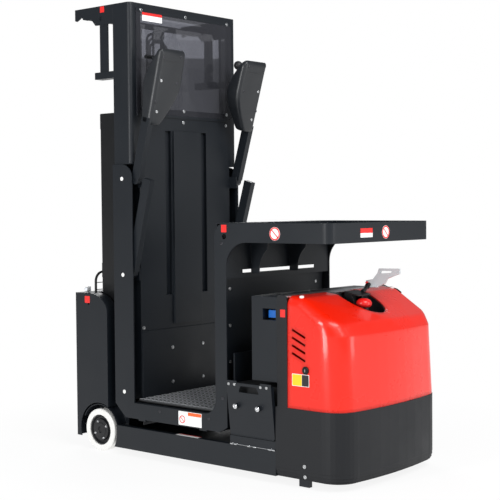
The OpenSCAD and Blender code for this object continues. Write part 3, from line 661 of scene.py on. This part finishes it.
def platform_labels():
    """Labels and signs on the sill, posts, bracket, tray and window."""
    side, on_film, tray = -HALF_MM, -HALF_MM - FILM / MM, 1521
    sticker("sill_label_white", "platform", at(747, side, 217), 0.140, 0.062, WHITE_FILM, RIGHT)
    sticker("sill_label_band", "platform", at(775, on_film, 238.5), 0.080, 0.015, ORANGE_FILM, RIGHT,
            depth=FILM / 2)
    round_sign("sill_sign", at(701, on_film, 212), RIGHT, 0.018)
    round_sign("tray_side_sign", at(1238, side, 1044), RIGHT, 0.028)
    sticker("post_label", "platform", at(957, side, 1064), 0.030, 0.032, RED_FILM, RIGHT)
    sticker("bracket_label", "platform", at(205, -369, 2083), 0.028, 0.028, RED_FILM, RIGHT)
    sticker("tray_label_red", "platform", at(tray, -120, 1054), 0.088, 0.020, RED_FILM, FRONT)
    sticker("tray_label_white", "platform", at(tray, -120, 1035), 0.088, 0.018, WHITE_FILM, FRONT)
    round_sign("tray_front_sign", at(tray, 23, 1045), FRONT, 0.028)
    sheet = WINDOW_HIGH.x
    sticker("panel_label_red", "platform", (sheet, -0.227, 2.059), 0.130, 0.022, RED_FILM, FRONT)
    sticker("panel_label_white", "platform", (sheet, -0.227, 2.034), 0.130, 0.026, WHITE_FILM, FRONT)


def chassis_labels():
    """Labels on the right rail, the rear cover and the hood's flange."""
    rail, side = 137, -HALF_MM
    sticker("rail_label", "chassis", at(722, -358, rail), 0.135, 0.027, WHITE_FILM, UP, up=LEFT)
    sticker("rail_label_line", "chassis", at(722, -348, rail + FILM / MM), 0.131, 0.005, RED_FILM, UP,
            up=LEFT, depth=FILM / 2, corner=0.0005)
    sticker("cover_label", "chassis", at(82, side, 719), 0.035, 0.033, RED_FILM, RIGHT)
    sticker("flange_label", "chassis", at(1277, side, 716), 0.026, 0.032, RED_FILM, RIGHT)


def hood_label():
    """White label with a yellow and a black field, on the hood's right flank."""
    place, normal = drop("hood", at(1366, -600, 446), LEFT)
    seat = place + normal * 0.0002
    sticker("hood_label_white", "chassis", seat, 0.088, 0.050, WHITE_FILM, normal)
    for name, shift, width, film in (("hood_label_yellow", -0.018, 0.048, YELLOW_FILM),
                                     ("hood_label_black", 0.0245, 0.035, BLACK_FILM)):
        centre = seat + normal * FILM + Vector((shift, 0, 0))
        sticker(name, "chassis", centre, width, 0.046, film, normal, depth=FILM / 2)


# Nose: key switch, bolts, caps, handle, button

def key_switch():
    """Lock with its slot on the hood's right flank, level with the surface a little ahead."""
    seat = at(1392, 0, 488)
    seat.y = drop("hood", at(1410, -600, 488), LEFT)[0].y
    profile = [(0.0165, 0.0), (0.0165, 0.003), (0.014, 0.006), (0.010, 0.006), (0.009, 0.003), (0.004, 0.003)]
    turned("key_switch", "chassis", M_BLACK, [aim(seat, RIGHT)], profile, 28)
    slot_seat = seat + Vector((0, -0.003, 0))
    plates("key_slot", "chassis", [(slot_seat, 0.003, 0.012)], M_SCREW, "bare_steel", RIGHT,
           depth=0.004, corner=0.0006)


def skirt_bolts():
    """Two bolts low on each side of the skirt."""
    for side, sign in SIDES:
        starts = [at(1385, sign * 600, z) for z in (93, 50)]
        places = [drop("front_skirt", start, (0, -sign, 0))[0] for start in starts]
        screws(f"skirt_bolts_{side}", "chassis", places, (0, sign, 0), 0.0085)


def hood_caps():
    """White caps on the hood's rear corners, sunk a little."""
    seats = []
    for y in (-335, 335):
        place, normal = drop("hood", at(1346, y, 1000), DOWN)
        seats.append(aim(place - normal * 0.002, normal))
    profile = [(0.0095, 0.0), (0.0095, 0.007), (0.007, 0.009)]
    turned("hood_caps", "chassis", M_CAP, seats, profile, 20)


def handle():
    """The release handle's foot gives way to a dark link from the button's guard, with a red pin."""
    cut("release_handle", "foot_cutter", [(at(1396, 60, 680), at(1446, 95, 803.5))])
    guard = box("button_guard")[1].z / MM
    link = [at(1396, 86, 817), at(1396, 76, 814), at(1400, 34, guard - 2), at(1400, 22, guard - 5)]
    sleeve = [at(1396, 74, 812), at(1397, 62, 806)]
    bars("handle_link", "chassis", M_BLACK, [(link, 0.0085, 16), (sleeve, 0.0115, 16)])
    pin = [(0.006, 0.0), (0.006, 0.007), (0.004, 0.009)]
    turned("handle_pin", "chassis", M_RED, [aim(at(1388, 78.5, 822), RIGHT)], pin, 18, 40)


def hood_lip():
    """Dark lip along the hood's left rear edge."""
    lift = Vector((0, 0, 0.001))
    line = [drop("hood", at(x, 352, 1000), DOWN)[0] + lift for x in range(1303, 1384, 10)]
    bars("hood_lip", "chassis", M_BLACK, [(line, 0.0055, 10)], 60)


def stop_button():
    """Stop button on a taller collar."""
    collar_high = 0.028
    low, high = box("stop_button")
    foot = Vector(((low.x + high.x) / 2 + 0.004, (low.y + high.y) / 2 - 0.002, low.z))
    seat = Matrix.Translation(foot)
    dome = [(0.022, 0.0), (0.030, 0.003), (0.034, 0.012), (0.034, 0.019), (0.031, 0.027), (0.024, 0.034),
            (0.014, 0.038), (0.005, 0.039)]
    top = seat @ Matrix.Translation((0, 0, collar_high))
    button = turned("button_dome", "chassis", M_RED, [top], dome, 40, 60)
    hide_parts("stop_button")
    collar = [(0.026, 0.0), (0.026, 0.006), (0.021, 0.008), (0.021, collar_high)]
    turned("button_collar", "chassis", M_BLACK, [seat], collar, 32)


# Battery doors

def door_fittings():
    """Screws, latches and hinge pin of both battery doors."""
    latch = [(0.0105, 0.0), (0.0115, 0.002), (0.0112, 0.0035), (0.008, 0.005), (0.0035, 0.0052),
             (0.003, 0.002)]
    for side, sign in SIDES:
        node, body = f"battery_door_{side}", f"door_{side}"
        low, high = box(node)
        places = []
        for x in (13, 45, 190, 222):
            start = Vector((low.x + x * MM, sign * 0.6, low.z + 0.225))
            place, normal = drop(node, start, (0, -sign, 0))
            places.append(place)
        screws(f"door_screws_{side}", body, places, normal, 0.0065)
        seats = []
        for x in (1035, 1158):
            start = at(x, sign * 600, high.z / MM - 108)
            seats.append(aim(*drop(node, start, (0, -sign, 0))))
        turned(f"door_latches_{side}", body, M_CHROME, seats, latch, 28)
        hinge_pin(side, sign * (HALF_MM - 3))


def hinge_pin(side, across):
    """Pin under a battery door with the knuckles around it."""
    height, reach = 139.5, 7
    runs = [([at(985, across, height), at(1226, across, height)], 0.0022, 8)]
    for x in (990, 1012, 1086, 1119, 1202, 1222):
        runs.append(([at(x - reach, across, height), at(x + reach, across, height)], 0.0042, 10))
    bars(f"door_hinge_pin_{side}", "chassis", M_CHROME, runs)


# Rear and mast

def lamp_lens():
    """Pale lens of the rear lamp."""
    low, high = box("rear_lamp")
    seat = aim(((low.x + high.x) / 2, low.y, 0.767), RIGHT)
    profile = [(0.009, -0.001), (0.0088, 0.002), (0.006, 0.0032)]
    turned("lamp_lens", "chassis", M_LENS, [seat], profile, 24, 40)


def chains():
    """Sheave and leaf chain on each side of the mast."""
    groove = [(0.010, 0.0), (0.034, 0.0), (0.034, 0.003), (0.030, 0.004), (0.030, 0.018), (0.034, 0.019),
              (0.034, 0.022), (0.010, 0.022)]
    link = [(0.0036 * math.cos(a), 0.0075 * math.sin(a)) for a in (0.5, 1.57, 2.64, 3.64, 4.71, 5.78)]
    pitch, foot, top = 12.7, 560, 2010
    upright = Matrix.Rotation(math.radians(90), 4, "X")
    for side, sign in SIDES:
        seat = aim(at(128, sign * 66, 2015), (0, sign, 0))
        turned(f"chain_sheave_{side}", "mast_middle", M_STEEL, [seat], groove, 32)
        bm = bmesh.new()
        for x in (97.5, 158.5):
            for n in range(int((top - foot) / pitch) + 1):
                for y, shift in ((70.5, 0), (74.5, 6), (78.5, 0)):
                    place = at(x, sign * y, foot + n * pitch + shift)
                    add_slab(bm, Matrix.Translation(place) @ upright, link, 0.003)
        finish_mesh(bm, f"leaf_chain_{side}", M_CHAIN, "mast_middle", 30)


def hoses():
    """Three hoses that loop up behind the window: place across, top and half the loop's width."""
    x, rise, steps = at(112, 0, 0).x, 0.035, 9
    for k, (y, top, swing) in enumerate(((0.115, 2.03, 0.05), (0.135, 2.01, 0.055), (0.155, 1.99, 0.06))):
        bend = top - 0.04
        heights = (0.62, 1.0, 1.4, 1.8, bend)
        points = [Vector((x, y, z)) for z in heights]
        for i in range(1, steps):
            a = math.pi * i / steps
            points.append(Vector((x, y - swing * (1 - math.cos(a)), bend + rise * math.sin(a))))
        points += [Vector((x, y - 2 * swing, z)) for z in reversed(heights)]
        bars(f"mast_hose_{k}", "mast_middle", M_BLACK, [(points, 0.006, 10)], 60)


def gas_struts():
    """Gas struts beside the back panel."""
    for side, sign in SIDES:
        foot, neck, lip, start, end = [at(352, sign * 338, z) for z in (430, 628, 634, 630, 806)]
        bars(f"strut_barrel_{side}", "platform", M_BLACK,
             [([foot, neck], 0.009, 16), ([neck, lip], 0.0065, 16)])
        bars(f"strut_rod_{side}", "platform", M_CHROME, [([start, end], 0.004, 12)])


def mat_bars():
    """Raised bars of the floor mat, in rows that lean in turn to either side. Their light grey is a painted
    highlight on the rib tops.
    """
    step, margin, first, depth = 0.026, 0.02, (0.01, 0.012), 0.0012
    tip, flat, wide = 0.0125, 0.009, 0.0042
    bar = [(-tip, 0.0), (-flat, -wide), (flat, -wide), (tip, 0.0), (flat, wide), (-flat, wide)]
    leans = [Matrix.Rotation(math.radians(angle), 4, "Z") for angle in (45, -45)]
    rows = int((MAT_HIGH.x - MAT_LOW.x - margin) / step) + 1
    columns = int((MAT_HIGH.y - MAT_LOW.y - margin) / step) + 1
    bm = bmesh.new()
    for i in range(rows):
        for j in range(columns):
            place = Vector((MAT_LOW.x + first[0] + i * step, MAT_LOW.y + first[1] + j * step, MAT_HIGH.z))
            add_slab(bm, Matrix.Translation(place) @ leans[j % 2], bar, depth, depth / 2)
    finish_mesh(bm, "mat_bars", M_MAT_BAR_HIGHLIGHT, "platform", 30)


# Control pods: lofted mouldings on the arms, in millimetres

ARM_LONG = 612
POD_HIGH = 350
POD_FOOT = ARM_LONG - POD_HIGH
POD_FRONT = 30
TUBE_WIDE = 30
ARM_LEAN = {"left": 16.5, "right": 14.5}
# Width, and depth behind the arm's middle, each after its height over the pod's foot
POD_WIDE = ((0, 75), (30, 97), (80, 130), (120, 153), (155, 166), (190, 171), (260, 171), (320, 168),
            (POD_HIGH, 158))
POD_BACK = ((0, 30), (12, 31), (82, 43), (168, 58), (213, 58), (268, 37), (318, 13), (POD_HIGH, -4))
# Height over the foot and how far the outline draws in there: round ends, straight between
POD_ROWS = ([(0.0, 9.0), (1.5, 4.5), (5.0, 1.4), (10.0, 0.0)] + [(h, 0.0) for h in range(20, 330, 10)]
            + [(334.0, 0.6), (340.0, 2.2), (345.0, 5.0), (348.5, 9.0), (POD_HIGH, 12.0)])


def value_at(table, h):
    """Value of a table at height h, straight between its rows."""
    for (h0, v0), (h1, v1) in zip(table, table[1:]):
        if h <= h1:
            return v0 + (v1 - v0) * (h - h0) / (h1 - h0)
    return table[-1][1]


def arm_seat(side, sign):
    """Frame of a raised arm: X forward, Y towards the middle, Z along the arm."""
    turn = Matrix.Rotation(math.radians(ARM_LEAN[side]), 4, "Y")
    flip = Matrix.Scale(-1, 4, LEFT) if sign > 0 else Matrix.Identity(4)
    return flip @ Matrix.Translation(at(405, -348, 1283)) @ turn


def pod_section(h, shrink):
    """Outline of the pod across its height: rounded box with a fuller front edge."""
    y0 = -TUBE_WIDE / 2 + shrink
    y1 = -TUBE_WIDE / 2 + value_at(POD_WIDE, h) - shrink
    x0 = -value_at(POD_BACK, h) + shrink
    x1 = POD_FRONT - shrink
    back = min(16.0, (x1 - x0) * 0.42, (y1 - y0) * 0.42)
    front = min(22.0, (x1 - x0) * 0.5, (y1 - y0) * 0.42)
    outline = []
    for cx, cy, radius, start in ((x1 - front, y1 - front, front, 0), (x0 + back, y1 - back, back, 90),
                                  (x0 + back, y0 + back, back, 180), (x1 - front, y0 + front, front, 270)):
        for i in range(7):
            a = math.radians(start + 15 * i)
            outline.append((cx + radius * math.cos(a), cy + radius * math.sin(a)))
    return outline


def pod_ring(h, shrink):
    """Pod outline at a height over the pod's foot, in metres on the arm."""
    return [Vector((x, y, POD_FOOT + h)) * MM for x, y in pod_section(h, shrink)]


def pod(side, sign):
    """Pod shell, its parting line a hair proud near the top, and the screws in its front."""
    body, seat = f"control_arm_{side}", arm_seat(side, sign)
    bm = bmesh.new()
    skin(bm, [ring(bm, seat, pod_ring(h, shrink)) for h, shrink in POD_ROWS])
    shell = finish_mesh(bm, f"pod_shell_{side}", M_POD, body, 50)
    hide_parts(f"pod_{side}")
    bm = bmesh.new()
    add_tube(bm, [seat @ point for point in pod_ring(296, -0.15)], 0.0009, 6, True)
    finish_mesh(bm, f"pod_seam_{side}", M_LABEL_BLACK, body, 60)
    forward = (seat.to_3x3() @ Vector(FRONT)).normalized()
    for stem, spots, radius, mat in (
            ("screws", ((6, 312), (118, 322), (120, 200), (2, 108)), 0.0068, M_DARK_SCREW),
            ("bolts", ((16, 206), (20, 64)), 0.0072, M_SCREW)):
        places = [seat @ (Vector((POD_FRONT - 0.3, y, POD_FOOT + h)) * MM) for y, h in spots]
        screws(f"pod_{stem}_{side}", body, places, forward, radius, mat)


def control_seat(side, sign, across):
    """Seat on the sloping back of a pod, in millimetres across from the arm's middle."""
    place = Vector((-38.2, across, POD_FOOT + 266)) * MM
    return arm_seat(side, sign) @ Matrix.Translation(place) @ Matrix.Rotation(math.radians(-66.8), 4, "Y")


def steering():
    """Steering disc with its knob, on the left pod."""
    seat = control_seat("left", 1, 70)
    rim = [(0.050, -0.006), (0.052, 0.0), (0.052, 0.009), (0.049, 0.013), (0.034, 0.014), (0.031, 0.011),
           (0.012, 0.011), (0.010, 0.014), (0.004, 0.014)]
    disc = turned("steer_wheel", "control_arm_left", M_POD, [seat], rim, 56, 35)
    ball, centre = 0.022, 0.047
    knob = [(0.007, 0.0), (0.007, 0.026)]
    for degrees in range(24, 180, 12):
        a = math.radians(degrees)
        knob.append((ball * math.sin(a), centre - ball * math.cos(a)))
    foot = seat @ Matrix.Translation((0.021, 0, 0.0135))
    turned("steer_knob", "control_arm_left", M_LINER, [foot], knob, 32, 50)
    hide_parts("steer_disc")


def lever():
    """Hand lever, a post with a cross grip, on the right pod."""
    seat = control_seat("right", -1, 64)
    post = [(0.022, -0.006), (0.023, 0.0), (0.023, 0.012), (0.019, 0.016), (0.008, 0.017), (0.007, 0.068)]
    stem = turned("lever_post", "control_arm_right", M_POD, [seat], post, 36, 35)
    line = [seat @ Vector((0, y, 0.072)) for y in (-0.040, -0.036, 0.036, 0.040)]
    bars("lever_grip", "control_arm_right", M_BLACK, [(line, 0.0085, 20)])
    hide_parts("hand_lever")


# Stage: floor, world, lamps and camera

def stage_floor():
    """Pale floor that keeps the truck's shadow and fades into the white around it."""
    bm = bmesh.new()
    reach = 14.0
    corners = ((-reach, -reach, 0), (reach, -reach, 0), (reach, reach, 0), (-reach, reach, 0))
    bm.faces.new([bm.verts.new(corner) for corner in corners])
    mesh = bpy.data.meshes.new("floor")
    bm.to_mesh(mesh)
    bm.free()
    obj = bpy.data.objects.new("floor", mesh)
    bpy.context.scene.collection.objects.link(obj)
    look = Shader("floor_paper", Roughness=0.9)
    look.color(look.blend(look.noise(scale=3.0), linear(244, 244, 244), linear(250, 250, 250)))
    glow = look.add("ShaderNodeEmission")
    glow.inputs["Color"].default_value = (1, 1, 1, 1)
    mix = look.add("ShaderNodeMixShader")
    length = look.add("ShaderNodeVectorMath", operation="LENGTH")
    look.links.new(look.place, length.inputs[0])
    far = look.between(length.outputs["Value"], 0.88, 1.0, start=0.9, end=2.0)
    look.links.new(far, mix.inputs["Fac"])
    look.links.new(look.bsdf.outputs["BSDF"], mix.inputs[1])
    look.links.new(glow.outputs["Emission"], mix.inputs[2])
    look.links.new(mix.outputs["Shader"], look.nodes["Material Output"].inputs["Surface"])
    mesh.materials.append(look.mat)


def stage_world():
    """Soft sky light, seen as white by the camera and through the window."""
    world = bpy.data.worlds.new("studio")
    bpy.context.scene.world = world
    world.use_nodes = True
    nodes, links = world.node_tree.nodes, world.node_tree.links
    light = nodes["Background"]
    light.inputs["Color"].default_value = (0.93, 0.96, 1.0, 1)
    light.inputs["Strength"].default_value = 0.3
    seen = nodes.new("ShaderNodeBackground")
    seen.inputs["Color"].default_value = (1, 1, 1, 1)
    seen.inputs["Strength"].default_value = 1.0
    rays = nodes.new("ShaderNodeLightPath")
    either = nodes.new("ShaderNodeMath")
    either.operation = "MAXIMUM"
    links.new(rays.outputs["Is Camera Ray"], either.inputs[0])
    links.new(rays.outputs["Is Transmission Ray"], either.inputs[1])
    mix = nodes.new("ShaderNodeMixShader")
    links.new(either.outputs[0], mix.inputs["Fac"])
    links.new(light.outputs[0], mix.inputs[1])
    links.new(seen.outputs[0], mix.inputs[2])
    links.new(mix.outputs[0], nodes["World Output"].inputs["Surface"])


# Name, place, target, size in metres, power in watts
LAMPS = (
    ("key", (3.4, -1.2, 4.0), (0.2, 0, 0.8), (2.4, 2.2), 170),
    ("fill", (4.4, 1.6, 1.6), (0.3, 0, 0.8), (1.2, 2.6), 45),
    ("strip", (0.15, -4.0, 1.6), (0, 0, 1.3), (0.45, 2.8), 85),
    ("rear", (-3.4, 2.6, 3.4), (0, 0, 1.0), (2.6, 2.2), 90),
)


def lamp(name, place, target, size, power):
    """Soft rectangular lamp that faces its target."""
    data = bpy.data.lights.new(name, "AREA")
    data.shape = "RECTANGLE"
    data.size, data.size_y = size
    data.energy = power
    obj = bpy.data.objects.new(name, data)
    obj.location = place
    direction = Vector(target) - Vector(place)
    obj.rotation_euler = direction.to_track_quat("-Z", "Y").to_euler()
    bpy.context.scene.collection.objects.link(obj)


# Camera: place in metres, angles in degrees, the photograph's focal length and side in pixels
CAMERA_PLACE = (3.4867, -4.142, 1.1641)
CAMERA_AZIMUTH = 40.20
CAMERA_PITCH = 2.2
CAMERA_ROLL = -0.48
FOCAL_PIXELS = 1171.7
PHOTO_PIXELS = 500.0
SENSOR = 36.0


def make_camera():
    """Camera at the photograph's place and angle."""
    data = bpy.data.cameras.new("view")
    data.sensor_width = SENSOR
    data.lens = SENSOR * FOCAL_PIXELS / PHOTO_PIXELS
    obj = bpy.data.objects.new("view", data)
    bpy.context.scene.collection.objects.link(obj)
    a, p = math.radians(CAMERA_AZIMUTH), math.radians(CAMERA_PITCH)
    look = Vector((-math.sin(a) * math.cos(p), math.cos(a) * math.cos(p), -math.sin(p)))
    turn = look.to_track_quat("-Z", "Y").to_matrix() @ Matrix.Rotation(math.radians(CAMERA_ROLL), 3, "Z")
    obj.matrix_world = Matrix.Translation(Vector(CAMERA_PLACE)) @ turn.to_4x4()
    bpy.context.scene.camera = obj


open_window()
slim_uprights()
panel_screws()
kick_bolts()
wall_screws()
window_frame()
column_caps()
post_screws()
hubs()
platform_labels()
chassis_labels()
hood_label()
key_switch()
skirt_bolts()
hood_caps()
door_fittings()
handle()
hood_lip()
stop_button()
lamp_lens()
chains()
hoses()
gas_struts()
mat_bars()
for side, sign in SIDES:
    pod(side, sign)
steering()
lever()

stage_floor()
stage_world()
for row in LAMPS:
    lamp(*row)
make_camera()
bpy.context.scene.view_settings.view_transform = "Standard"
